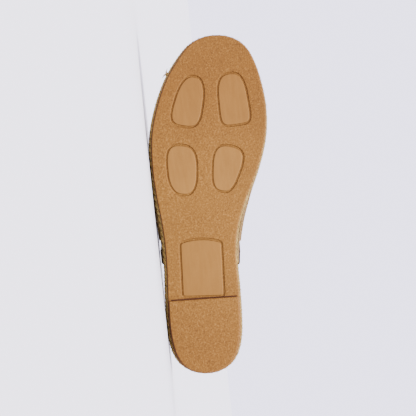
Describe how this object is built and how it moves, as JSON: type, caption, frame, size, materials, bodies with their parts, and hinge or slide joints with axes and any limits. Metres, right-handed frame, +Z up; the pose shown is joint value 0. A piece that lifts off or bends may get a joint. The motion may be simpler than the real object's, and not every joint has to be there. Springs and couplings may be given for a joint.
{
  "type": "espadrille",
  "caption": "Backless flat espadrille for a right foot: closed-toe canvas vamp on a braided jute sole with a moulded rubber tread.",
  "frame": {"origin": "middle of the bounding box, on the floor that the shoe lies on", "axes": "+Z up from the floor, out of the shoe's medial side; -Y is the side the tread faces; the toe points towards -X"},
  "size_m": [0.25, 0.069, 0.0908],
  "materials": {
    "tan_rubber": "matt tan rubber with a fine pebble grain and smooth pads",
    "jute_braid": "natural plaited jute, dry and hairy",
    "insole_lining": "thin natural leather sock, soft sheen",
    "canvas": "plain woven greige cotton canvas",
    "binding_ribbon": "ribbed dark brown ribbon"
  },
  "bodies": {
    "root": {"outsole": "tan_rubber", "midsole": "jute_braid", "insole": "insole_lining", "upper": "canvas", "topline_binding": "binding_ribbon"}
  },
  "joints": []
}
